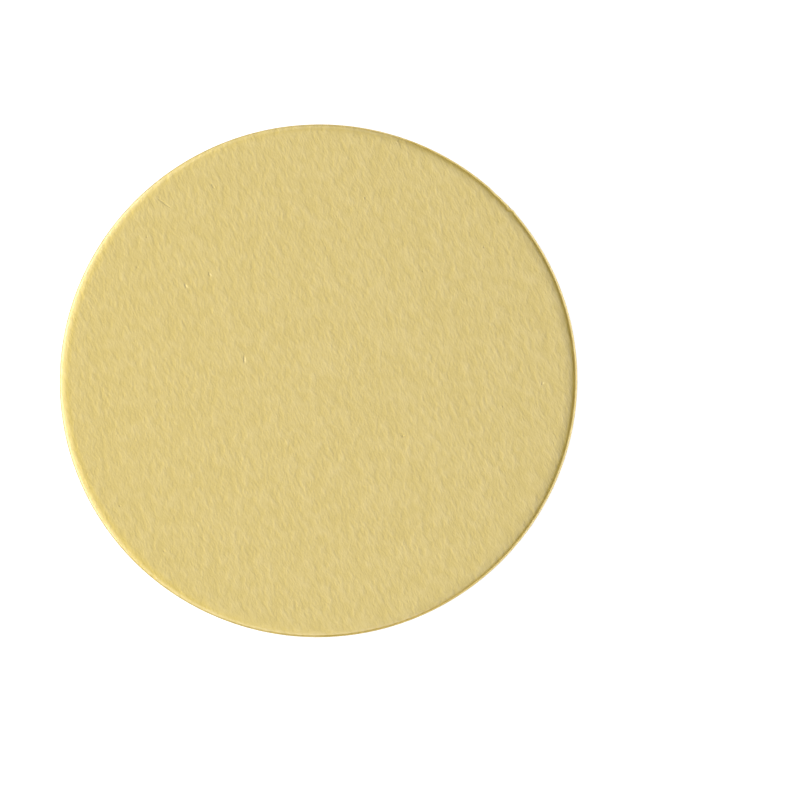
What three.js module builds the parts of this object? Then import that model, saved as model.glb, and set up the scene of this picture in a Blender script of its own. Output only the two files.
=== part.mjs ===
// Round cake board: a greyboard disc with a gold foil facing bonded over its top.
// The rim is pressed down when the disc is cut, which leaves a rounded shoulder and a thin lip.
// Millimetres, +Z up, origin at the centre of the underside.
import * as THREE from "three";

// Driving dimensions
const boardDiameter = 203.2; // an 8 inch round
const greyboardThickness = 2.0; // the core, where it isn't pressed
const facingThickness = 0.15; // foil and its backing paper
const shoulderWidth = 3.5; // from the flat face out to the foot of the lip
const lipWidth = 0.8; // the pressed band outside the shoulder
const pressedThickness = 0.8; // greyboard left under the lip
const lipBeadHeight = 0.2; // how far the foil's edge curls up above the foot of the lip
const shoulderSweep = THREE.MathUtils.degToRad(50); // how far round the shoulder's arc turns

// Facets
const roundSegments = 96;
const shoulderSteps = 7;
const beadSteps = 6;

// Levels and radii that follow from the sizes
const boardRadius = boardDiameter / 2;
const lipFootRadius = boardRadius - lipWidth;
const flatRadius = lipFootRadius - shoulderWidth;
const pressedDepth = greyboardThickness - pressedThickness;

// Points of a rounded shoulder from the end of the flat face, the first left out.
function shoulderPoints(width, topHeight) {
  return Array.from({ length: shoulderSteps }, (_, step) => {
    const turn = (shoulderSweep * (step + 1)) / shoulderSteps;
    const outward = (width * Math.sin(turn)) / Math.sin(shoulderSweep);
    const down = (pressedDepth * (1 - Math.cos(turn))) / (1 - Math.cos(shoulderSweep));
    return new THREE.Vector2(flatRadius + outward, topHeight - down);
  });
}

// The surface where core and facing are bonded, from the axis out to the cut edge.
function bondLine() {
  return [
    new THREE.Vector2(0, greyboardThickness),
    new THREE.Vector2(flatRadius, greyboardThickness),
    ...shoulderPoints(shoulderWidth - facingThickness, greyboardThickness),
    new THREE.Vector2(boardRadius, pressedThickness),
  ];
}

// The curled edge of the foil: a shallow arc from the foot of the lip over to the cut edge, the first point left out.
function lipBeadPoints(footHeight) {
  const halfSweep = 2 * Math.atan((2 * lipBeadHeight) / lipWidth);
  const arcRadius = lipWidth / 2 / Math.sin(halfSweep);
  return Array.from({ length: beadSteps }, (_, step) => {
    const turn = halfSweep * ((2 * (step + 1)) / beadSteps - 1);
    const outward = lipWidth / 2 + arcRadius * Math.sin(turn);
    const rise = arcRadius * (Math.cos(turn) - Math.cos(halfSweep));
    return new THREE.Vector2(lipFootRadius + outward, footHeight + rise);
  });
}

// The gold face, from the axis out to the cut edge.
function faceLine() {
  const topHeight = greyboardThickness + facingThickness;
  return [
    new THREE.Vector2(0, topHeight),
    new THREE.Vector2(flatRadius, topHeight),
    ...shoulderPoints(shoulderWidth, topHeight),
    ...lipBeadPoints(topHeight - pressedDepth),
  ];
}

// A solid of revolution about +Z, from a profile that runs upwards round its section.
function turned(profile) {
  return new THREE.LatheGeometry(profile, roundSegments).rotateX(Math.PI / 2);
}

function greyboardCore() {
  const underside = [new THREE.Vector2(0, 0), new THREE.Vector2(boardRadius, 0)];
  const material = new THREE.MeshStandardMaterial({ color: 0xafaaad, roughness: 0.95, metalness: 0 });
  return new THREE.Mesh(turned([...underside, ...bondLine().reverse()]), material);
}

function goldFoilFacing() {
  const material = new THREE.MeshStandardMaterial({ color: 0xddc986, roughness: 0.4, metalness: 0.9 });
  return new THREE.Mesh(turned([...bondLine(), ...faceLine().reverse()]), material);
}

const cakeBoard = new THREE.Group();
const pieces = { greyboard_core: greyboardCore(), gold_foil_facing: goldFoilFacing() };
for (const [name, mesh] of Object.entries(pieces)) {
  mesh.name = name;
  cakeBoard.add(mesh);
}

export default cakeBoard;
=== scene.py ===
"""A round cake board: greyboard faced with gold foil, its rim pressed down to a thin lip.

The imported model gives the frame. Its two pieces are turned again at a fine step, and given the marks and
the finish of the real board. Soft lamps light them for a camera that looks almost straight down.
"""

import logging
import math
from collections.abc import Callable, Sequence
from dataclasses import dataclass
from enum import Enum
from itertools import pairwise

import bpy
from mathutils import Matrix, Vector

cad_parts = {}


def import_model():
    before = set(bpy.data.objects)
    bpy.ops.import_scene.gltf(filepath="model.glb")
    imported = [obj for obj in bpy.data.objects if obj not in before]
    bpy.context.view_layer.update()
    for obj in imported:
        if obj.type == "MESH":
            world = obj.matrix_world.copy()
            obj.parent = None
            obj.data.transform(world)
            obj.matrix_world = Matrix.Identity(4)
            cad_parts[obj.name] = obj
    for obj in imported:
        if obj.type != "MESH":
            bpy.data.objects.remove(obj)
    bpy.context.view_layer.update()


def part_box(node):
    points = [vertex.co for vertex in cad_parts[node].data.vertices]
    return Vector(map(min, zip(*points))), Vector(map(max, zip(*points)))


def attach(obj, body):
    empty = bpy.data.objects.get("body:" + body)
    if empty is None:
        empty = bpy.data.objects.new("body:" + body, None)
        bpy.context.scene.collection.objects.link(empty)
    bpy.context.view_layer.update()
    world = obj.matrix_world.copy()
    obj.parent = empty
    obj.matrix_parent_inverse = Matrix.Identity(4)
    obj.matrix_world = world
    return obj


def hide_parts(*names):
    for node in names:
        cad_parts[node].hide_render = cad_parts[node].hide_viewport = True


LOG = logging.getLogger("cake_board")
MM = 0.001
BODY = "root"
MERGE_DISTANCE = 0.001 * MM
SHARP_ANGLE = math.radians(40)
PINPRICK_WIDTH = 0.5 * MM

# Where the board lies in the photo, in its 800 by 800 frame
IMAGE_SIDE_PX = 800
BOARD_CENTRE_X_PX = 318.3
BOARD_CENTRE_Y_PX = 380.4
BOARD_WIDTH_PX = 519.0

# How the shared effects draw
FIBRE_DETAIL = 2.0
SMALLEST_SPECK_SHARE = 0.5
SOLID_SPECK_SHARE = 0.4

# A colour mix's sockets, which share their names with those of the node's other kinds
MIX_SHARE_INPUT = 0
MIX_FIRST_INPUT = 6
MIX_SECOND_INPUT = 7
MIX_OUTPUT = 2

Colour = tuple[float, float, float]
Sockets = dict[str, bpy.types.NodeSocket]

WHITE: Colour = (1.0, 1.0, 1.0)


class Node(Enum):
    """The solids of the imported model."""

    CORE = "greyboard_core"
    FACING = "gold_foil_facing"


class Slot(Enum):
    """The record's material slots."""

    GREYBOARD = "greyboard"
    GOLD_FOIL = "gold_foil"


def opaque(colour: Colour) -> tuple[float, ...]:
    """A colour with full cover, as a colour socket takes it."""
    return (*colour, 1.0)


def flat_direction(azimuth: float) -> Vector:
    """Direction out from the board's axis, level with the floor."""
    return Vector((math.cos(azimuth), math.sin(azimuth), 0))


def deselect_everything() -> None:
    """Leaves object mode with nothing selected."""
    if bpy.context.mode != "OBJECT":
        bpy.ops.object.mode_set(mode="OBJECT")
    bpy.ops.object.select_all(action="DESELECT")


def turn_section(name: str, section: Sequence[Vector], steps: int) -> bpy.types.Object:
    """Draws a section by extruding one vertex from point to point, and spins it round the board's axis.

    Args:
        name: The piece's name.
        section: The section's points in the XZ plane, from the axis out and back to the axis.
        steps: How many steps the spin takes.

    Returns:
        The closed round piece, with its origin at the frame's origin.
    """
    deselect_everything()
    bpy.ops.mesh.primitive_plane_add(size=MM)
    piece = bpy.context.active_object
    piece.name = name
    piece.data.name = name
    bpy.ops.object.mode_set(mode="EDIT")
    bpy.ops.mesh.select_all(action="SELECT")
    bpy.ops.mesh.merge(type="CENTER")
    bpy.ops.transform.translate(value=section[0])
    for here, there in pairwise(section):
        bpy.ops.mesh.extrude_vertices_move(TRANSFORM_OT_translate={"value": there - here})
    bpy.ops.mesh.select_all(action="SELECT")
    bpy.ops.mesh.spin(steps=steps, angle=math.tau, center=(0, 0, 0), axis=(0, 0, 1), use_auto_merge=True)
    bpy.ops.mesh.select_all(action="SELECT")
    bpy.ops.mesh.remove_doubles(threshold=MERGE_DISTANCE)
    bpy.ops.mesh.normals_make_consistent(inside=False)
    bpy.ops.object.mode_set(mode="OBJECT")
    return piece


def select_vertices(piece: bpy.types.Object, wanted: Callable[[Vector], bool]) -> int:
    """Selects the vertices of a piece by their place, and leaves the piece in edit mode.

    Args:
        piece: The active piece.
        wanted: Says of a vertex's place whether it is wanted.

    Returns:
        How many vertices are selected.
    """
    bpy.ops.object.mode_set(mode="EDIT")
    bpy.ops.mesh.select_mode(type="VERT")
    bpy.ops.mesh.select_all(action="DESELECT")
    bpy.ops.object.mode_set(mode="OBJECT")
    chosen = [vertex for vertex in piece.data.vertices if wanted(vertex.co)]
    for vertex in chosen:
        vertex.select = True
    bpy.ops.object.mode_set(mode="EDIT")
    return len(chosen)


def radius_of(place: Vector) -> float:
    """Distance of a place from the board's axis."""
    return math.hypot(place.x, place.y)


def azimuth_of(place: Vector) -> float:
    """Angle of a place round the board's axis, in radians from +X."""
    return math.atan2(place.y, place.x)


@dataclass(frozen=True)
class PhotoView:
    """How the photo's camera sees the board: metres and radians, but lens and sensor in millimetres."""

    board_radius: float
    board_level: float
    tilt: float = math.radians(7.2)
    lens: float = 100.0
    sensor: float = 36.0

    @property
    def per_px(self) -> float:
        """Metres on the board to a pixel."""
        return 2 * self.board_radius / BOARD_WIDTH_PX

    @property
    def distance(self) -> float:
        """From the camera to the point it looks at."""
        return IMAGE_SIDE_PX * self.per_px * self.lens / self.sensor

    @property
    def back(self) -> Vector:
        """Direction from the board to the camera."""
        return Vector((0, -math.sin(self.tilt), math.cos(self.tilt)))

    @property
    def aim(self) -> Vector:
        """The point in the middle of the picture."""
        drawn_lower = self.board_radius**2 * math.sin(self.tilt) / self.distance
        across = (IMAGE_SIDE_PX / 2 - BOARD_CENTRE_X_PX) * self.per_px
        up = (BOARD_CENTRE_Y_PX - IMAGE_SIDE_PX / 2) * self.per_px / math.cos(self.tilt)
        return Vector((across, up - drawn_lower, self.board_level))

    def place(self, x_px: float, y_px: float) -> Vector:
        """Where on the board's level a pixel of the photo lies.

        Args:
            x_px: Pixels from the photo's left edge.
            y_px: Pixels from the photo's top edge.

        Returns:
            The place.
        """
        right = Vector((1, 0, 0)) * (x_px - IMAGE_SIDE_PX / 2) * self.per_px
        upward = self.back.cross(Vector((1, 0, 0))) * (IMAGE_SIDE_PX / 2 - y_px) * self.per_px
        camera = self.aim + self.back * self.distance
        ray = self.aim + right + upward - camera
        return camera + ray * ((self.board_level - camera.z) / ray.z)


@dataclass(frozen=True)
class BoardSection:
    """The board's section: what the frame gives, and the rim's own sizes, all in metres."""

    radius: float
    core_top: float
    face_top: float
    pressed_top: float
    shoulder_width: float = 4.6 * MM
    lip_width: float = 0.5 * MM
    lip_crest_height: float = 0.4 * MM
    lip_crest_share: float = 0.75
    lip_edge_share: float = 0.4
    shoulder_sweep: float = math.radians(68)

    @classmethod
    def from_frame(cls) -> "BoardSection":
        """Reads the board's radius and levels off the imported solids.

        Returns:
            The section.
        """
        core_low, core_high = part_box(Node.CORE.value)
        facing_low, facing_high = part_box(Node.FACING.value)
        return cls(
            radius=core_high.x,
            core_top=core_high.z - core_low.z,
            face_top=facing_high.z,
            pressed_top=facing_low.z,
        )

    @property
    def facing_thickness(self) -> float:
        """Thickness of the foil and its backing paper."""
        return self.face_top - self.core_top

    @property
    def pressed_depth(self) -> float:
        """How far the rim is pressed below the face."""
        return self.core_top - self.pressed_top

    @property
    def lip_foot_radius(self) -> float:
        """Where the shoulder ends and the lip starts."""
        return self.radius - self.lip_width

    @property
    def flat_radius(self) -> float:
        """Where the flat face ends and the shoulder starts."""
        return self.lip_foot_radius - self.shoulder_width

    def shoulder(self, width: float, top: float, steps: int) -> list[Vector]:
        """Points of the rounded shoulder, from the end of the flat face, which is left out.

        Args:
            width: The shoulder's width.
            top: The height of the flat it falls from.
            steps: How many points to make.

        Returns:
            The points, outwards and down.
        """
        points = []
        for step in range(1, steps + 1):
            turn = self.shoulder_sweep * step / steps
            outward = width * math.sin(turn) / math.sin(self.shoulder_sweep)
            down = self.pressed_depth * (1 - math.cos(turn)) / (1 - math.cos(self.shoulder_sweep))
            points.append(Vector((self.flat_radius + outward, 0, top - down)))
        return points

    def lip(self, steps: int) -> list[Vector]:
        """Points of the foil's upturned lip, from its foot, which is left out.

        Args:
            steps: How many points the rise to the crest has.

        Returns:
            The points, outwards over the crest to the cut edge.
        """
        foot = self.face_top - self.pressed_depth
        rise = [
            Vector((
                self.lip_foot_radius + self.lip_width * self.lip_crest_share * step / steps,
                0,
                foot + self.lip_crest_height * step / steps,
            ))
            for step in range(1, steps + 1)
        ]
        return [*rise, Vector((self.radius, 0, foot + self.lip_crest_height * self.lip_edge_share))]

    def bond(self, steps: int) -> list[Vector]:
        """Points of the surface where core and facing are glued, from the axis out to the cut edge.

        Args:
            steps: How many points the shoulder has.

        Returns:
            The points, outwards.
        """
        return [
            Vector((0, 0, self.core_top)),
            Vector((self.flat_radius, 0, self.core_top)),
            *self.shoulder(self.shoulder_width - self.facing_thickness, self.core_top, steps),
            Vector((self.radius, 0, self.pressed_top)),
        ]


@dataclass
class NodeBench:
    """Adds nodes to one node tree and links them."""

    tree: bpy.types.NodeTree

    def add(self, kind: str, **settings: object) -> bpy.types.Node:
        """Adds a node and sets its own settings.

        Args:
            kind: The node's Blender type.
            settings: Attribute values, by name.

        Returns:
            The new node.
        """
        node = self.tree.nodes.new(kind)
        for name, value in settings.items():
            setattr(node, name, value)
        return node

    def plug(self, socket: bpy.types.NodeSocket, value: object) -> None:
        """Links an output to a socket, or sets the socket to a plain value.

        Args:
            socket: The socket that takes it.
            value: The output or the plain value.
        """
        if isinstance(value, bpy.types.NodeSocket):
            self.tree.links.new(value, socket)
        else:
            socket.default_value = value

    def maths(self, operation: str, first: object, second: object) -> bpy.types.NodeSocket:
        """Works out one sum.

        Args:
            operation: The Math node's operation.
            first: A socket or a number.
            second: A socket or a number.

        Returns:
            The result's socket.
        """
        node = self.add("ShaderNodeMath", operation=operation)
        self.plug(node.inputs[0], first)
        self.plug(node.inputs[1], second)
        return node.outputs[0]

    def spread(self, value: object, low: float, high: float) -> bpy.types.NodeSocket:
        """Stretches the part of a value between two levels to run from 0 to 1.

        Args:
            value: A socket or a number.
            low: The level that becomes 0.
            high: The level that becomes 1.

        Returns:
            The stretched value's socket, kept between 0 and 1.
        """
        node = self.add("ShaderNodeMapRange")
        self.plug(node.inputs["Value"], value)
        node.inputs["From Min"].default_value = low
        node.inputs["From Max"].default_value = high
        return node.outputs["Result"]

    def blend(self, share: object, first: object, second: object) -> bpy.types.NodeSocket:
        """Mixes two colours.

        Args:
            share: How much of the second colour shows, from 0 to 1.
            first: A socket or a colour.
            second: A socket or a colour.

        Returns:
            The mixed colour's socket.
        """
        node = self.add("ShaderNodeMix", data_type="RGBA")
        self.plug(node.inputs[MIX_SHARE_INPUT], share)
        self.plug(node.inputs[MIX_FIRST_INPUT], first)
        self.plug(node.inputs[MIX_SECOND_INPUT], second)
        return node.outputs[MIX_OUTPUT]

    def group(self, tree: bpy.types.NodeTree, **inputs: object) -> bpy.types.Node:
        """Places a shared group with its own values.

        Args:
            tree: The group.
            inputs: Values or sockets by input name.

        Returns:
            The group's node.
        """
        node = self.add("ShaderNodeGroup", node_tree=tree)
        for name, value in inputs.items():
            self.plug(node.inputs[name], value)
        return node


def new_group(
    name: str, inputs: dict[str, str], outputs: dict[str, str]
) -> tuple[NodeBench, Sockets, Sockets]:
    """Makes an empty shader group with named sockets.

    Args:
        name: The group's name.
        inputs: Socket types by input name.
        outputs: Socket types by output name.

    Returns:
        Its bench, the sockets that bring the inputs in, and the sockets that take the outputs.
    """
    tree = bpy.data.node_groups.new(name, "ShaderNodeTree")
    for socket_name, kind in inputs.items():
        tree.interface.new_socket(socket_name, in_out="INPUT", socket_type=kind)
    for socket_name, kind in outputs.items():
        tree.interface.new_socket(socket_name, in_out="OUTPUT", socket_type=kind)
    bench = NodeBench(tree)
    source = bench.add("NodeGroupInput")
    sink = bench.add("NodeGroupOutput")
    return bench, dict(source.outputs.items()), dict(sink.inputs.items())


def fibre_group() -> bpy.types.NodeTree:
    """Short fibres that lie mostly one way, as a height between 0 and 1.

    Returns:
        The group.
    """
    bench, given, result = new_group(
        "board_fibres",
        {
            "Position": "NodeSocketVector",
            "Lean": "NodeSocketFloat",
            "Length": "NodeSocketFloat",
            "Width": "NodeSocketFloat",
            "Fuzz": "NodeSocketFloat",
        },
        {"Height": "NodeSocketFloat"},
    )
    turn = bench.add("ShaderNodeVectorRotate", rotation_type="Z_AXIS")
    bench.plug(turn.inputs["Vector"], given["Position"])
    bench.plug(turn.inputs["Angle"], bench.maths("MULTIPLY", given["Lean"], -1.0))
    size = bench.add("ShaderNodeCombineXYZ")
    bench.plug(size.inputs["X"], given["Length"])
    bench.plug(size.inputs["Y"], given["Width"])
    bench.plug(size.inputs["Z"], given["Length"])
    scaled = bench.add("ShaderNodeVectorMath", operation="DIVIDE")
    bench.plug(scaled.inputs[0], turn.outputs["Vector"])
    bench.plug(scaled.inputs[1], size.outputs["Vector"])
    noise = bench.add("ShaderNodeTexNoise")
    noise.inputs["Scale"].default_value = 1.0
    noise.inputs["Detail"].default_value = FIBRE_DETAIL
    bench.plug(noise.inputs["Vector"], scaled.outputs["Vector"])
    bench.plug(noise.inputs["Roughness"], given["Fuzz"])
    bench.plug(result["Height"], noise.outputs["Fac"])
    return bench.tree


def speck_group() -> bpy.types.NodeTree:
    """Sparse round specks, one at most in each cell of an even scatter.

    Returns:
        The group.
    """
    bench, given, result = new_group(
        "board_specks",
        {
            "Position": "NodeSocketVector",
            "Spacing": "NodeSocketFloat",
            "Radius": "NodeSocketFloat",
            "Share": "NodeSocketFloat",
        },
        {"Mask": "NodeSocketFloat"},
    )
    scaled = bench.add("ShaderNodeVectorMath", operation="SCALE")
    bench.plug(scaled.inputs[0], given["Position"])
    bench.plug(scaled.inputs["Scale"], bench.maths("DIVIDE", 1.0, given["Spacing"]))
    cells = bench.add("ShaderNodeTexVoronoi", voronoi_dimensions="2D")
    cells.inputs["Scale"].default_value = 1.0
    cells.inputs["Randomness"].default_value = 1.0
    bench.plug(cells.inputs["Vector"], scaled.outputs["Vector"])
    cell_draws = bench.add("ShaderNodeSeparateColor")
    bench.plug(cell_draws.inputs["Color"], cells.outputs["Color"])
    size_draw = bench.maths("ADD", SMALLEST_SPECK_SHARE, cell_draws.outputs["Green"])
    speck_radius = bench.maths("MULTIPLY", given["Radius"], size_draw)
    distance = bench.maths("MULTIPLY", cells.outputs["Distance"], given["Spacing"])
    dot = bench.add("ShaderNodeMapRange", interpolation_type="SMOOTHSTEP")
    bench.plug(dot.inputs["Value"], distance)
    bench.plug(dot.inputs["From Min"], speck_radius)
    bench.plug(dot.inputs["From Max"], bench.maths("MULTIPLY", speck_radius, SOLID_SPECK_SHARE))
    present = bench.maths("LESS_THAN", cell_draws.outputs["Red"], given["Share"])
    bench.plug(result["Mask"], bench.maths("MULTIPLY", dot.outputs["Result"], present))
    return bench.tree


def dent_group() -> bpy.types.NodeTree:
    """One soft oblong spot at a given place.

    Returns:
        The group.
    """
    bench, given, result = new_group(
        "board_dent",
        {
            "Position": "NodeSocketVector",
            "Middle": "NodeSocketVector",
            "Lean": "NodeSocketFloat",
            "Length": "NodeSocketFloat",
            "Width": "NodeSocketFloat",
        },
        {"Mask": "NodeSocketFloat"},
    )
    beside = bench.add("ShaderNodeVectorMath", operation="SUBTRACT")
    bench.plug(beside.inputs[0], given["Position"])
    bench.plug(beside.inputs[1], given["Middle"])
    turn = bench.add("ShaderNodeVectorRotate", rotation_type="Z_AXIS")
    bench.plug(turn.inputs["Vector"], beside.outputs["Vector"])
    bench.plug(turn.inputs["Angle"], bench.maths("MULTIPLY", given["Lean"], -1.0))
    parts = bench.add("ShaderNodeSeparateXYZ")
    bench.plug(parts.inputs[0], turn.outputs["Vector"])
    along = bench.maths("DIVIDE", parts.outputs["X"], given["Length"])
    across = bench.maths("DIVIDE", parts.outputs["Y"], given["Width"])
    along_squared = bench.maths("MULTIPLY", along, along)
    across_squared = bench.maths("MULTIPLY", across, across)
    reach = bench.maths("ADD", along_squared, across_squared)
    fade = bench.add("ShaderNodeMapRange", interpolation_type="SMOOTHSTEP")
    bench.plug(fade.inputs["Value"], reach)
    fade.inputs["From Min"].default_value = 1.0
    fade.inputs["From Max"].default_value = 0.0
    bench.plug(result["Mask"], fade.outputs["Result"])
    return bench.tree


@dataclass(frozen=True)
class SharedEffects:
    """The groups that the finishes share."""

    fibres: bpy.types.NodeTree
    specks: bpy.types.NodeTree
    dent: bpy.types.NodeTree

    @classmethod
    def build(cls) -> "SharedEffects":
        """Makes each group once."""
        return cls(fibres=fibre_group(), specks=speck_group(), dent=dent_group())


def new_material(name: str) -> tuple[bpy.types.Material, NodeBench, bpy.types.Node, bpy.types.NodeSocket]:
    """Makes a material with its Principled shader and the object coordinates.

    Args:
        name: The material's name.

    Returns:
        The material, its bench, the shader, and the socket that gives a point's place.
    """
    material = bpy.data.materials.new(name)
    material.use_nodes = True
    bench = NodeBench(material.node_tree)
    shader = material.node_tree.nodes["Principled BSDF"]
    place = bench.add("ShaderNodeTexCoord").outputs["Object"]
    return material, bench, shader, place


@dataclass(frozen=True)
class FibreRun:
    """Fibres of one kind: which way they lie, their size in metres, and how rough their edges are."""

    lean: float
    length: float
    width: float
    fuzz: float

    def height(
        self, bench: NodeBench, effects: SharedEffects, place: bpy.types.NodeSocket
    ) -> bpy.types.NodeSocket:
        """Draws the fibres.

        Args:
            bench: The material's bench.
            effects: The shared groups.
            place: The socket that gives a point's place.

        Returns:
            The height's socket.
        """
        node = bench.group(
            effects.fibres, Position=place, Lean=self.lean, Length=self.length, Width=self.width,
            Fuzz=self.fuzz,
        )
        return node.outputs["Height"]


@dataclass(frozen=True)
class SpeckScatter:
    """Specks of one kind: how far apart and how large they are, and what share of the cells has one."""

    spacing: float
    radius: float
    share: float

    def mask(
        self, bench: NodeBench, effects: SharedEffects, place: bpy.types.NodeSocket
    ) -> bpy.types.NodeSocket:
        """Draws the specks.

        Args:
            bench: The material's bench.
            effects: The shared groups.
            place: The socket that gives a point's place.

        Returns:
            The mask's socket.
        """
        node = bench.group(
            effects.specks, Position=place, Spacing=self.spacing, Radius=self.radius, Share=self.share
        )
        return node.outputs["Mask"]


@dataclass(frozen=True)
class FaceMark:
    """One small dent, pimple or painted glint as the photo shows it.

    Its place is in pixels from the photo's left and top edges, and its sizes are in metres and radians. Its
    strength is below 0 where it is pressed in and above 0 where it stands up, and for a painted glint it is
    the share of the pale gold painted on as a highlight.
    """

    x_px: float
    y_px: float
    lean: float
    length: float
    width: float
    strength: float

    def mask(
        self, bench: NodeBench, effects: SharedEffects, place: bpy.types.NodeSocket, view: PhotoView
    ) -> bpy.types.NodeSocket:
        """Draws the mark at its place on the board.

        Args:
            bench: The material's bench.
            effects: The shared groups.
            place: The socket that gives a point's place.
            view: The photo's view.

        Returns:
            The mask's socket.
        """
        node = bench.group(
            effects.dent, Position=place, Middle=view.place(self.x_px, self.y_px), Lean=self.lean,
            Length=self.length, Width=self.width,
        )
        return node.outputs["Mask"]


def pinprick(x_px: float, y_px: float, lean: float, length: float, strength: float = -0.4) -> FaceMark:
    """Makes one of the smallest marks, which are all equally wide.

    Args:
        x_px: Pixels from the photo's left edge.
        y_px: Pixels from the photo's top edge.
        lean: The way its longer side lies, in degrees.
        length: Its longer side, in millimetres.
        strength: How deep it is, or how high where it is above 0.

    Returns:
        The mark.
    """
    return FaceMark(x_px, y_px, math.radians(lean), length * MM, PINPRICK_WIDTH, strength)


class FaceDent(Enum):
    """The small dents and pimples in the real board's face, in the order they are added up."""

    RIGHT_CHIP = FaceMark(
        x_px=542.4, y_px=383.5, lean=math.radians(60), length=0.8 * MM, width=0.45 * MM, strength=-0.45
    )
    TOP_LEFT_SCRATCH = FaceMark(
        x_px=164, y_px=203, lean=math.radians(-37), length=4.2 * MM, width=0.45 * MM, strength=-0.4
    )
    TOP_LEFT_DENT = FaceMark(
        x_px=213, y_px=186, lean=math.radians(120), length=1.2 * MM, width=0.5 * MM, strength=-0.6
    )
    MIDDLE_GOUGE = FaceMark(
        x_px=244.4, y_px=359.5, lean=math.radians(92), length=2.0 * MM, width=0.45 * MM, strength=-0.5
    )
    LEFT_DENT = FaceMark(
        x_px=185.6, y_px=286, lean=math.radians(110), length=1.3 * MM, width=0.45 * MM, strength=-0.7
    )
    LEFT_INNER_DENT = FaceMark(
        x_px=209.4, y_px=274.3, lean=math.radians(110), length=1.0 * MM, width=0.45 * MM, strength=-0.7
    )
    LEFT_PINPRICK = pinprick(x_px=137, y_px=267, lean=20, length=0.6, strength=-0.5)
    LEFT_UPPER_PINPRICK = pinprick(x_px=147, y_px=237, lean=20, length=0.5, strength=-0.5)
    TOP_PIMPLE = pinprick(x_px=364, y_px=198, lean=110, length=0.7, strength=0.4)
    TOP_PINPRICK = pinprick(x_px=397, y_px=143, lean=20, length=0.6)
    INNER_RIGHT_PINPRICK = pinprick(x_px=423, y_px=271, lean=20, length=0.5)
    RIGHT_PINPRICK = pinprick(x_px=484, y_px=247, lean=20, length=0.5)
    LOWER_PINPRICK = pinprick(x_px=403, y_px=436, lean=60, length=0.6)
    RIGHT_PIMPLE = pinprick(x_px=502, y_px=407, lean=110, length=0.7, strength=0.4)
    LOWER_LEFT_PINPRICK = pinprick(x_px=120, y_px=506, lean=20, length=0.5)
    BOTTOM_LEFT_PINPRICK = pinprick(x_px=164, y_px=551, lean=20, length=0.5)


class FaceGlint(Enum):
    """Painted glints: pale gold painted on the lit sides of the deeper dents, as the highlights they catch.
    """

    RIGHT_CHIP = FaceMark(
        x_px=543.8, y_px=383.2, lean=math.radians(60), length=0.6 * MM, width=0.45 * MM, strength=0.35
    )
    MIDDLE_GOUGE = FaceMark(
        x_px=245.4, y_px=359.8, lean=math.radians(92), length=1.8 * MM, width=0.35 * MM, strength=0.5
    )
    LEFT_DENT = FaceMark(
        x_px=187.0, y_px=286.2, lean=math.radians(120), length=1.1 * MM, width=0.35 * MM, strength=0.4
    )
    LEFT_INNER_DENT = FaceMark(
        x_px=210.9, y_px=274.8, lean=math.radians(120), length=0.9 * MM, width=0.35 * MM, strength=0.4
    )


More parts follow.
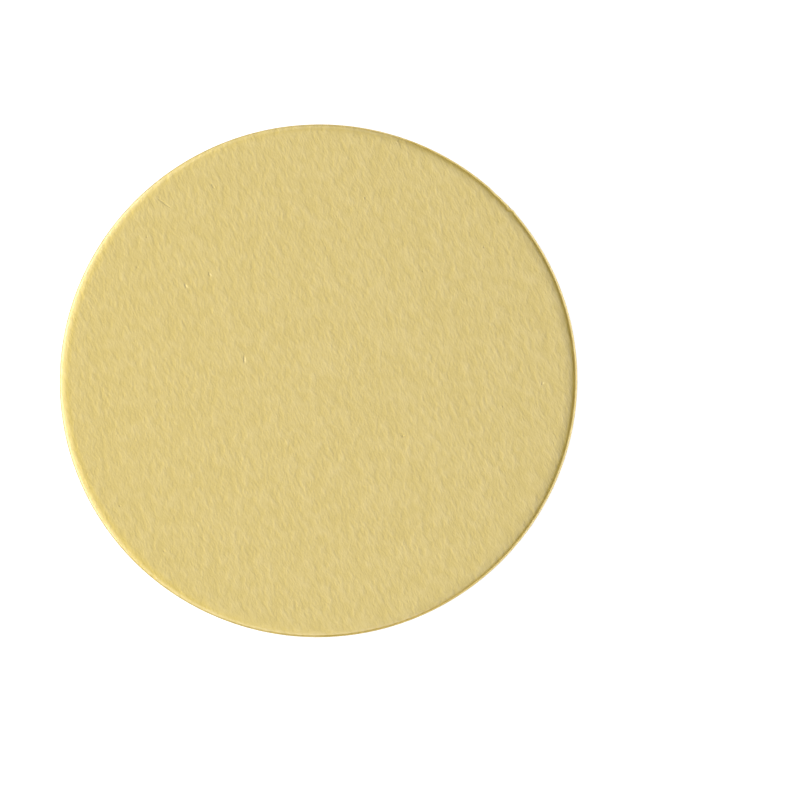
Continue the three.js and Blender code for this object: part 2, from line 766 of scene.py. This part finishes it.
@dataclass(frozen=True)
class GoldFoilFinish:
    """Satin gold foil under a clear film, with the board's fibres showing through it as relief, and painted
    paler on the raised fibres: partly the foil's own tone, partly painted shading of that relief.
    """

    view: PhotoView
    gold: Colour = (0.605, 0.475, 0.113)
    # Paler gold of the raised fibres: partly the foil's own tone, partly painted shading of the relief
    fibre_tone_and_shade_gold: Colour = (0.644, 0.508, 0.124)
    # Painted highlight colour of the glints on the dents' lit sides
    glint_gold: Colour = (0.95, 0.82, 0.42)
    backing_paper: Colour = (0.62, 0.52, 0.40)
    roughness: float = 0.7
    film_roughness: float = 0.3
    film_ior: float = 2.3
    thin_film: float = 0.62
    metallic: float = 0.95
    relief: float = 0.38 * MM
    dent_share: float = 1.3
    streaks: FibreRun = FibreRun(lean=math.radians(116), length=4.2 * MM, width=1.8 * MM, fuzz=0.6)
    crossing: FibreRun = FibreRun(lean=math.radians(82), length=4.2 * MM, width=1.7 * MM, fuzz=0.6)
    crossing_share: float = 0.6
    waves: FibreRun = FibreRun(lean=math.radians(95), length=9.0 * MM, width=5.0 * MM, fuzz=0.5)
    wave_share: float = 0.15
    # Fibre heights over which the colour runs from gold to the paler gold, which is partly painted shading
    tone_low: float = 0.72
    tone_high: float = 1.28

    def fibre_height(
        self, bench: NodeBench, effects: SharedEffects, place: bpy.types.NodeSocket
    ) -> bpy.types.NodeSocket:
        """Adds up the streaks and the broader waves that the board's fibres press into the foil.

        Args:
            bench: The material's bench.
            effects: The shared groups.
            place: The socket that gives a point's place.

        Returns:
            The height's socket.
        """
        streaks = self.streaks.height(bench, effects, place)
        waves = self.waves.height(bench, effects, place)
        crossing = self.crossing.height(bench, effects, place)
        height = bench.maths("ADD", streaks, bench.maths("MULTIPLY", crossing, self.crossing_share))
        return bench.maths("ADD", height, bench.maths("MULTIPLY", waves, self.wave_share))

    def add_marks(
        self, bench: NodeBench, effects: SharedEffects, place: bpy.types.NodeSocket, marks: type[Enum]
    ) -> bpy.types.NodeSocket:
        """Adds up small marks, each at its own place and strength.

        Args:
            bench: The material's bench.
            effects: The shared groups.
            place: The socket that gives a point's place.
            marks: The kind of marks.

        Returns:
            The sum's socket.
        """
        total: object = 0.0
        for mark in (named.value for named in marks):
            mask = mark.mask(bench, effects, place, self.view)
            total = bench.maths("ADD", total, bench.maths("MULTIPLY", mask, mark.strength))
        return total

    def material(self, effects: SharedEffects, paper_below: float) -> bpy.types.Material:
        """Builds the foil's material.

        Args:
            effects: The shared groups.
            paper_below: Height under which the cut edge shows backing paper and no foil.

        Returns:
            The material.
        """
        material, bench, shader, place = new_material("gold_foil")
        height = self.fibre_height(bench, effects, place)
        bump = bench.add("ShaderNodeBump")
        bump.inputs["Strength"].default_value = 1.0
        bump.inputs["Distance"].default_value = self.relief
        dents = self.add_marks(bench, effects, place, FaceDent)
        dents = bench.maths("MULTIPLY", dents, self.dent_share)
        bench.plug(bump.inputs["Height"], bench.maths("ADD", height, dents))
        # Raised fibres are painted paler: partly the foil's own tone, partly painted shading of the fibre
        # relief
        tone = bench.spread(height, self.tone_low, self.tone_high)
        foil = bench.blend(tone, opaque(self.gold), opaque(self.fibre_tone_and_shade_gold))
        # Painted glints: pale gold laid on the lit sides of the deeper dents as painted highlights
        painted_glints = self.add_marks(bench, effects, place, FaceGlint)
        foil = bench.blend(painted_glints, foil, opaque(self.glint_gold))
        height_above = bench.add("ShaderNodeSeparateXYZ")
        bench.plug(height_above.inputs[0], place)
        is_paper = bench.maths("LESS_THAN", height_above.outputs["Z"], paper_below)
        is_foil = bench.maths("SUBTRACT", 1.0, is_paper)
        film = bench.maths("ADD", self.thin_film, bench.maths("MULTIPLY", tone, 1.0 - self.thin_film))
        bench.plug(shader.inputs["Base Color"], bench.blend(is_paper, foil, opaque(self.backing_paper)))
        bench.plug(shader.inputs["Metallic"], bench.maths("MULTIPLY", is_foil, self.metallic))
        bench.plug(shader.inputs["Coat Weight"], bench.maths("MULTIPLY", film, is_foil))
        shader.inputs["Roughness"].default_value = self.roughness
        shader.inputs["Coat Roughness"].default_value = self.film_roughness
        shader.inputs["Coat IOR"].default_value = self.film_ior
        bench.plug(shader.inputs["Normal"], bump.outputs["Normal"])
        return material


@dataclass(frozen=True)
class GreyboardFinish:
    """Bare recycled board: mottled grey fibres with dark specks and pale flecks."""

    pale_grey: Colour = (0.49, 0.46, 0.475)
    dark_grey: Colour = (0.36, 0.335, 0.35)
    speck: Colour = (0.13, 0.11, 0.12)
    fleck: Colour = (0.60, 0.58, 0.58)
    fleck_strength: float = 0.6
    roughness: float = 0.93
    relief: float = 0.05 * MM
    fibres: FibreRun = FibreRun(lean=math.radians(23), length=1.6 * MM, width=0.8 * MM, fuzz=0.7)
    fibre_low: float = 0.3
    fibre_high: float = 0.7
    specks: SpeckScatter = SpeckScatter(spacing=5 * MM, radius=0.3 * MM, share=0.4)
    flecks: SpeckScatter = SpeckScatter(spacing=6 * MM, radius=0.35 * MM, share=0.4)
    fleck_shift: tuple[float, float, float] = (0.37, 0.21, 0.0)

    def material(self, effects: SharedEffects) -> bpy.types.Material:
        """Builds the board's material.

        Args:
            effects: The shared groups.

        Returns:
            The material.
        """
        material, bench, shader, place = new_material("greyboard")
        fibres = self.fibres.height(bench, effects, place)
        specks = self.specks.mask(bench, effects, place)
        aside = bench.add("ShaderNodeMapping")
        aside.inputs["Location"].default_value = self.fleck_shift
        bench.plug(aside.inputs["Vector"], place)
        flecks = self.flecks.mask(bench, effects, aside.outputs["Vector"])
        mottle = bench.spread(fibres, self.fibre_low, self.fibre_high)
        colour = bench.blend(mottle, opaque(self.dark_grey), opaque(self.pale_grey))
        flecks = bench.maths("MULTIPLY", flecks, self.fleck_strength)
        colour = bench.blend(flecks, colour, opaque(self.fleck))
        colour = bench.blend(specks, colour, opaque(self.speck))
        bump = bench.add("ShaderNodeBump")
        bump.inputs["Strength"].default_value = 1.0
        bump.inputs["Distance"].default_value = self.relief
        bench.plug(bump.inputs["Height"], fibres)
        bench.plug(shader.inputs["Base Color"], colour)
        shader.inputs["Roughness"].default_value = self.roughness
        bench.plug(shader.inputs["Normal"], bump.outputs["Normal"])
        return material


def replace_node(piece: bpy.types.Object, node: Node, material: bpy.types.Material) -> None:
    """Dresses a finished piece and lets it stand for its CAD node.

    Args:
        piece: The finished piece.
        node: The CAD node it stands for.
        material: Its material.
    """
    piece.data.materials.clear()
    piece.data.materials.append(material)
    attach(piece, BODY)
    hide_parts(node.value)


def smooth_by_angle(piece: bpy.types.Object) -> None:
    """Shades a piece smooth, and sharp where its faces meet at more than the sharp angle.

    Args:
        piece: The finished piece.
    """
    deselect_everything()
    piece.select_set(True)
    bpy.context.view_layer.objects.active = piece
    bpy.ops.object.shade_smooth_by_angle(angle=SHARP_ANGLE)


@dataclass(frozen=True)
class Pinch:
    """One push on the rim: where it is, how far it moves and how far it reaches, in radians and metres."""

    azimuth: float
    inset: float
    reach: float
    outward: float = 0.0
    lift: float = 0.0


@dataclass(frozen=True)
class PressMarks:
    """What the press left: a face off the disc's middle, a nick in the rim, and a lip flat on one side."""

    section: BoardSection
    tolerance: float = 0.01 * MM
    face_shift: float = 0.3 * MM
    shift_azimuth: float = math.radians(170)
    flat_half_arcs: tuple[float, ...] = tuple(math.radians(degrees) for degrees in range(100, 40, -10))
    flat_share: float = 0.68
    nick_azimuth: float = math.radians(43)
    nick_half_angle: float = math.radians(6)
    nick_cuts: int = 3
    pinch_middle_share: float = 0.25
    pinches: tuple[Pinch, ...] = (
        Pinch(azimuth=math.radians(46.5), inset=0.9 * MM, reach=2.5 * MM, outward=-0.25 * MM),
        Pinch(azimuth=math.radians(44.0), inset=0.9 * MM, reach=2.0 * MM, outward=-0.25 * MM),
        Pinch(azimuth=math.radians(42.0), inset=0.9 * MM, reach=1.1 * MM, outward=-0.6 * MM),
        Pinch(azimuth=math.radians(40.6), inset=0.7 * MM, reach=1.1 * MM, outward=0.3 * MM),
        Pinch(azimuth=math.radians(44.1), inset=0.3 * MM, reach=0.7 * MM, lift=0.12 * MM),
        Pinch(
            azimuth=math.radians(40.9), inset=0.3 * MM, reach=0.8 * MM, outward=0.15 * MM, lift=0.15 * MM
        ),
    )

    def is_upper(self, place: Vector) -> bool:
        """Whether a place is on the pressed side, above the bare cut edge."""
        return place.z > self.section.pressed_top - self.tolerance

    def push(
        self, piece: bpy.types.Object, wanted: Callable[[Vector], bool], move: Vector, reach: float
    ) -> None:
        """Moves some vertices, and their surroundings less and less.

        Args:
            piece: The active piece.
            wanted: Says of a vertex's place whether it takes the full move.
            move: The full move.
            reach: How far round the vertices the surface still moves.
        """
        if select_vertices(piece, wanted):
            bpy.ops.transform.translate(
                value=move,
                use_proportional_edit=True,
                proportional_edit_falloff="LINEAR",
                proportional_size=reach,
                use_proportional_connected=True,
            )
        bpy.ops.object.mode_set(mode="OBJECT")

    def shift_face(self, piece: bpy.types.Object) -> None:
        """Moves face and shoulder to one side, so that the lip is wider on the other.

        Args:
            piece: The active piece.
        """

        def is_face(place: Vector) -> bool:
            """Whether a place is in from the lip."""
            face_edge = self.section.lip_foot_radius + self.tolerance
            return self.is_upper(place) and radius_of(place) < face_edge

        move = flat_direction(self.shift_azimuth) * self.face_shift
        self.push(piece, is_face, move, self.section.lip_width)

    def nick_rim(self, piece: bpy.types.Object) -> None:
        """Cuts the rim finer at the nick and pushes it in.

        Args:
            piece: The active piece.
        """

        def near_nick(place: Vector) -> bool:
            """Whether a place is on the rim near the nick."""
            on_rim = self.is_upper(place) and radius_of(place) > self.section.flat_radius
            return on_rim and abs(azimuth_of(place) - self.nick_azimuth) < self.nick_half_angle

        select_vertices(piece, near_nick)
        bpy.ops.mesh.subdivide(number_cuts=self.nick_cuts)
        bpy.ops.object.mode_set(mode="OBJECT")
        for pinch in self.pinches:
            out = flat_direction(pinch.azimuth)
            spot = out * (self.section.radius - pinch.inset)
            middle = pinch.reach * self.pinch_middle_share

            def at_spot(place: Vector) -> bool:
                """Whether a place is at the middle of the pinch."""
                return self.is_upper(place) and (place.xy - spot.xy).length < middle

            self.push(piece, at_spot, out * pinch.outward + Vector((0, 0, pinch.lift)), pinch.reach)

    def flatten_lip(self, piece: bpy.types.Object) -> None:
        """Presses the foil's lip almost to its foot on the side the face moves to, less to each side.

        Args:
            piece: The active piece.
        """
        section = self.section
        foot = section.face_top - section.pressed_depth
        for half_arc in self.flat_half_arcs:

            def on_lip(place: Vector) -> bool:
                """Whether a place is on the lip above its foot, in this pass's stretch."""
                in_arc = math.cos(azimuth_of(place) - self.shift_azimuth) > math.cos(half_arc)
                above_foot = place.z > foot + self.tolerance
                return in_arc and above_foot and radius_of(place) > section.lip_foot_radius

            select_vertices(piece, on_lip)
            bpy.ops.transform.resize(value=(1, 1, self.flat_share), center_override=(0, 0, foot))
            bpy.ops.object.mode_set(mode="OBJECT")

    def mark(self, piece: bpy.types.Object) -> None:
        """Gives a piece the marks that foil and board share."""
        self.shift_face(piece)
        self.nick_rim(piece)


@dataclass
class FoilFacing:
    """The gold face: foil on paper over the top, the shoulder and the lip."""

    section: BoardSection
    finish: GoldFoilFinish
    round_steps: int = 480
    face_rings: int = 39
    shoulder_steps: int = 16
    lip_steps: int = 4
    bond_steps: int = 7
    sag_depth: float = 0.03 * MM
    sag_size: float = 14 * MM
    sag_fade: float = 4 * MM
    paper_share: float = 0.8

    def outline(self) -> list[Vector]:
        """The facing's section, out along the face and back along the glued side.

        Returns:
            The points.
        """
        section = self.section
        rings = [
            Vector((section.flat_radius * ring / self.face_rings, 0, section.face_top))
            for ring in range(self.face_rings + 1)
        ]
        shoulder = section.shoulder(section.shoulder_width, section.face_top, self.shoulder_steps)
        back = reversed(section.bond(self.bond_steps))
        return [*rings, *shoulder, *section.lip(self.lip_steps), *back]

    def sag_face(self, piece: bpy.types.Object) -> None:
        """Lets the flat face dip softly here and there, as pressed board does.

        Args:
            piece: The facing.
        """
        section = self.section
        group = piece.vertex_groups.new(name="flat_face")
        for vertex in piece.data.vertices:
            on_face = vertex.co.z > section.face_top - self.sag_depth
            room = section.flat_radius - radius_of(vertex.co)
            if on_face and room > 0:
                group.add([vertex.index], min(1.0, room / self.sag_fade), "REPLACE")
        clouds = bpy.data.textures.new("face_sag", "CLOUDS")
        clouds.noise_scale = self.sag_size
        sag = piece.modifiers.new("face_sag", "DISPLACE")
        sag.texture = clouds
        sag.texture_coords = "LOCAL"
        sag.direction = "Z"
        sag.strength = self.sag_depth
        sag.mid_level = 1.0
        sag.vertex_group = group.name
        bpy.ops.object.modifier_apply(modifier=sag.name)
        piece.vertex_groups.clear()

    def build(self, effects: SharedEffects) -> bpy.types.Object:
        """Turns the facing, marks it and dresses it.

        Args:
            effects: The shared groups.

        Returns:
            The finished piece.
        """
        section = self.section
        piece = turn_section("gold_foil_face", self.outline(), self.round_steps)
        self.sag_face(piece)
        marks = PressMarks(section)
        marks.flatten_lip(piece)
        marks.mark(piece)
        smooth_by_angle(piece)
        paper_below = section.pressed_top + self.paper_share * section.facing_thickness
        replace_node(piece, Node.FACING, self.finish.material(effects, paper_below))
        return piece


@dataclass
class GreyboardCore:
    """The greyboard disc under the foil, bare on its underside and at its cut edge."""

    section: BoardSection
    finish: GreyboardFinish
    round_steps: int = 480
    bond_steps: int = 7
    underside_rings: int = 12
    edge_steps: int = 4

    def outline(self) -> list[Vector]:
        """The core's section, out along the underside, up the cut edge and back along the glued side.

        Returns:
            The points.
        """
        section = self.section
        underside = [
            Vector((section.radius * ring / self.underside_rings, 0, 0))
            for ring in range(self.underside_rings + 1)
        ]
        edge = [
            Vector((section.radius, 0, section.pressed_top * step / self.edge_steps))
            for step in range(1, self.edge_steps)
        ]
        return [*underside, *edge, *reversed(section.bond(self.bond_steps))]

    def build(self, effects: SharedEffects) -> bpy.types.Object:
        """Turns the core and dresses it.

        Args:
            effects: The shared groups.

        Returns:
            The finished piece.
        """
        piece = turn_section("greyboard_disc", self.outline(), self.round_steps)
        PressMarks(self.section).mark(piece)
        smooth_by_angle(piece)
        replace_node(piece, Node.CORE, self.finish.material(effects))
        return piece


@dataclass(frozen=True)
class SoftBox:
    """One studio lamp: an oblong soft box that faces the board, in radians and metres."""

    name: str
    azimuth: float
    elevation: float
    distance: float
    width: float
    height: float
    radiance: float

    def build(self) -> None:
        """Hangs the lamp and aims it at the board."""
        lamp = bpy.data.lights.new(self.name, "AREA")
        lamp.shape = "RECTANGLE"
        lamp.size = self.width
        lamp.size_y = self.height
        lamp.energy = self.radiance * math.pi * self.width * self.height
        level = math.cos(self.elevation)
        upward = math.sin(self.elevation)
        towards = Vector((level * math.cos(self.azimuth), level * math.sin(self.azimuth), upward))
        hung = bpy.data.objects.new(self.name, lamp)
        bpy.context.scene.collection.objects.link(hung)
        hung.location = towards * self.distance
        hung.rotation_mode = "QUATERNION"
        hung.rotation_quaternion = towards.to_track_quat("Z", "Y")


@dataclass
class Studio:
    """The pale floor, the soft lamps and the camera above the board."""

    view: PhotoView
    floor_side: float = 12.0
    floor_gap: float = 0.02 * MM
    floor_albedo: float = 0.8
    floor_fill: float = 0.45
    room_level: float = 0.05
    lamps: tuple[SoftBox, ...] = (
        SoftBox(
            "overhead_box", azimuth=math.radians(0), elevation=math.radians(78), distance=1.6,
            width=3.0, height=2.1, radiance=1.22,
        ),
        SoftBox(
            "back_box", azimuth=math.radians(98), elevation=math.radians(20), distance=1.6,
            width=1.3, height=1.1, radiance=1.3,
        ),
        SoftBox(
            "front_box", azimuth=math.radians(262), elevation=math.radians(24), distance=1.6,
            width=2.2, height=1.1, radiance=2.0,
        ),
        SoftBox(
            "left_box", azimuth=math.radians(170), elevation=math.radians(41), distance=2.4,
            width=4.4, height=1.4, radiance=1.6,
        ),
        SoftBox(
            "left_strip", azimuth=math.radians(170), elevation=math.radians(15), distance=2.4,
            width=4.4, height=0.9, radiance=5.2,
        ),
    )

    def build_floor(self) -> None:
        """Lays a white floor that keeps the board's shadow. Its glow is seen, but lights nothing matte."""
        deselect_everything()
        bpy.ops.mesh.primitive_plane_add(size=self.floor_side, location=(0, 0, -self.floor_gap))
        floor = bpy.context.active_object
        floor.name = "floor"
        material = bpy.data.materials.new("white_floor")
        material.use_nodes = True
        material.node_tree.nodes.clear()
        bench = NodeBench(material.node_tree)
        matte = bench.add("ShaderNodeBsdfDiffuse")
        matte.inputs["Color"].default_value = opaque((self.floor_albedo,) * 3)
        rays = bench.add("ShaderNodeLightPath").outputs
        seen = bench.maths("MAXIMUM", rays["Is Camera Ray"], rays["Is Glossy Ray"])
        seen = bench.maths("MAXIMUM", seen, rays["Is Transmission Ray"])
        fill = bench.add("ShaderNodeEmission")
        bench.plug(fill.inputs["Strength"], bench.maths("MULTIPLY", seen, self.floor_fill))
        both = bench.add("ShaderNodeAddShader")
        bench.plug(both.inputs[0], matte.outputs[0])
        bench.plug(both.inputs[1], fill.outputs[0])
        bench.plug(bench.add("ShaderNodeOutputMaterial").inputs["Surface"], both.outputs[0])
        floor.data.materials.append(material)

    def build_room(self) -> None:
        """Fills the room with a low even light."""
        world = bpy.data.worlds.new("studio_room")
        world.use_nodes = True
        background = world.node_tree.nodes["Background"]
        background.inputs["Color"].default_value = opaque(WHITE)
        background.inputs["Strength"].default_value = self.room_level
        bpy.context.scene.world = world

    def build_camera(self) -> None:
        """Hangs the camera so that the board lies in the frame as it does in the photo."""
        view = self.view
        camera_data = bpy.data.cameras.new("photo_camera")
        camera_data.lens = view.lens
        camera_data.sensor_width = view.sensor
        camera = bpy.data.objects.new("photo_camera", camera_data)
        bpy.context.scene.collection.objects.link(camera)
        camera.location = view.aim + view.back * view.distance
        camera.rotation_mode = "QUATERNION"
        camera.rotation_quaternion = view.back.to_track_quat("Z", "Y")
        bpy.context.scene.camera = camera

    def build(self) -> None:
        """Sets the whole studio up."""
        self.build_floor()
        self.build_room()
        for lamp in self.lamps:
            lamp.build()
        self.build_camera()
        bpy.context.scene.view_settings.view_transform = "Standard"
        LOG.info("studio: %d lamps", len(self.lamps))


def main() -> None:
    """Builds the board round the frame, and the studio round the board."""
    logging.basicConfig(level=logging.INFO, format="%(name)s: %(message)s")
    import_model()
    section = BoardSection.from_frame()
    effects = SharedEffects.build()
    view = PhotoView(section.radius, section.face_top)
    for layer in (GreyboardCore(section, GreyboardFinish()), FoilFacing(section, GoldFoilFinish(view))):
        piece = layer.build(effects)
        LOG.info("%s: %d vertices, %d faces", piece.name, len(piece.data.vertices), len(piece.data.polygons))
    Studio(view).build()


if __name__ == "__main__":
    main()
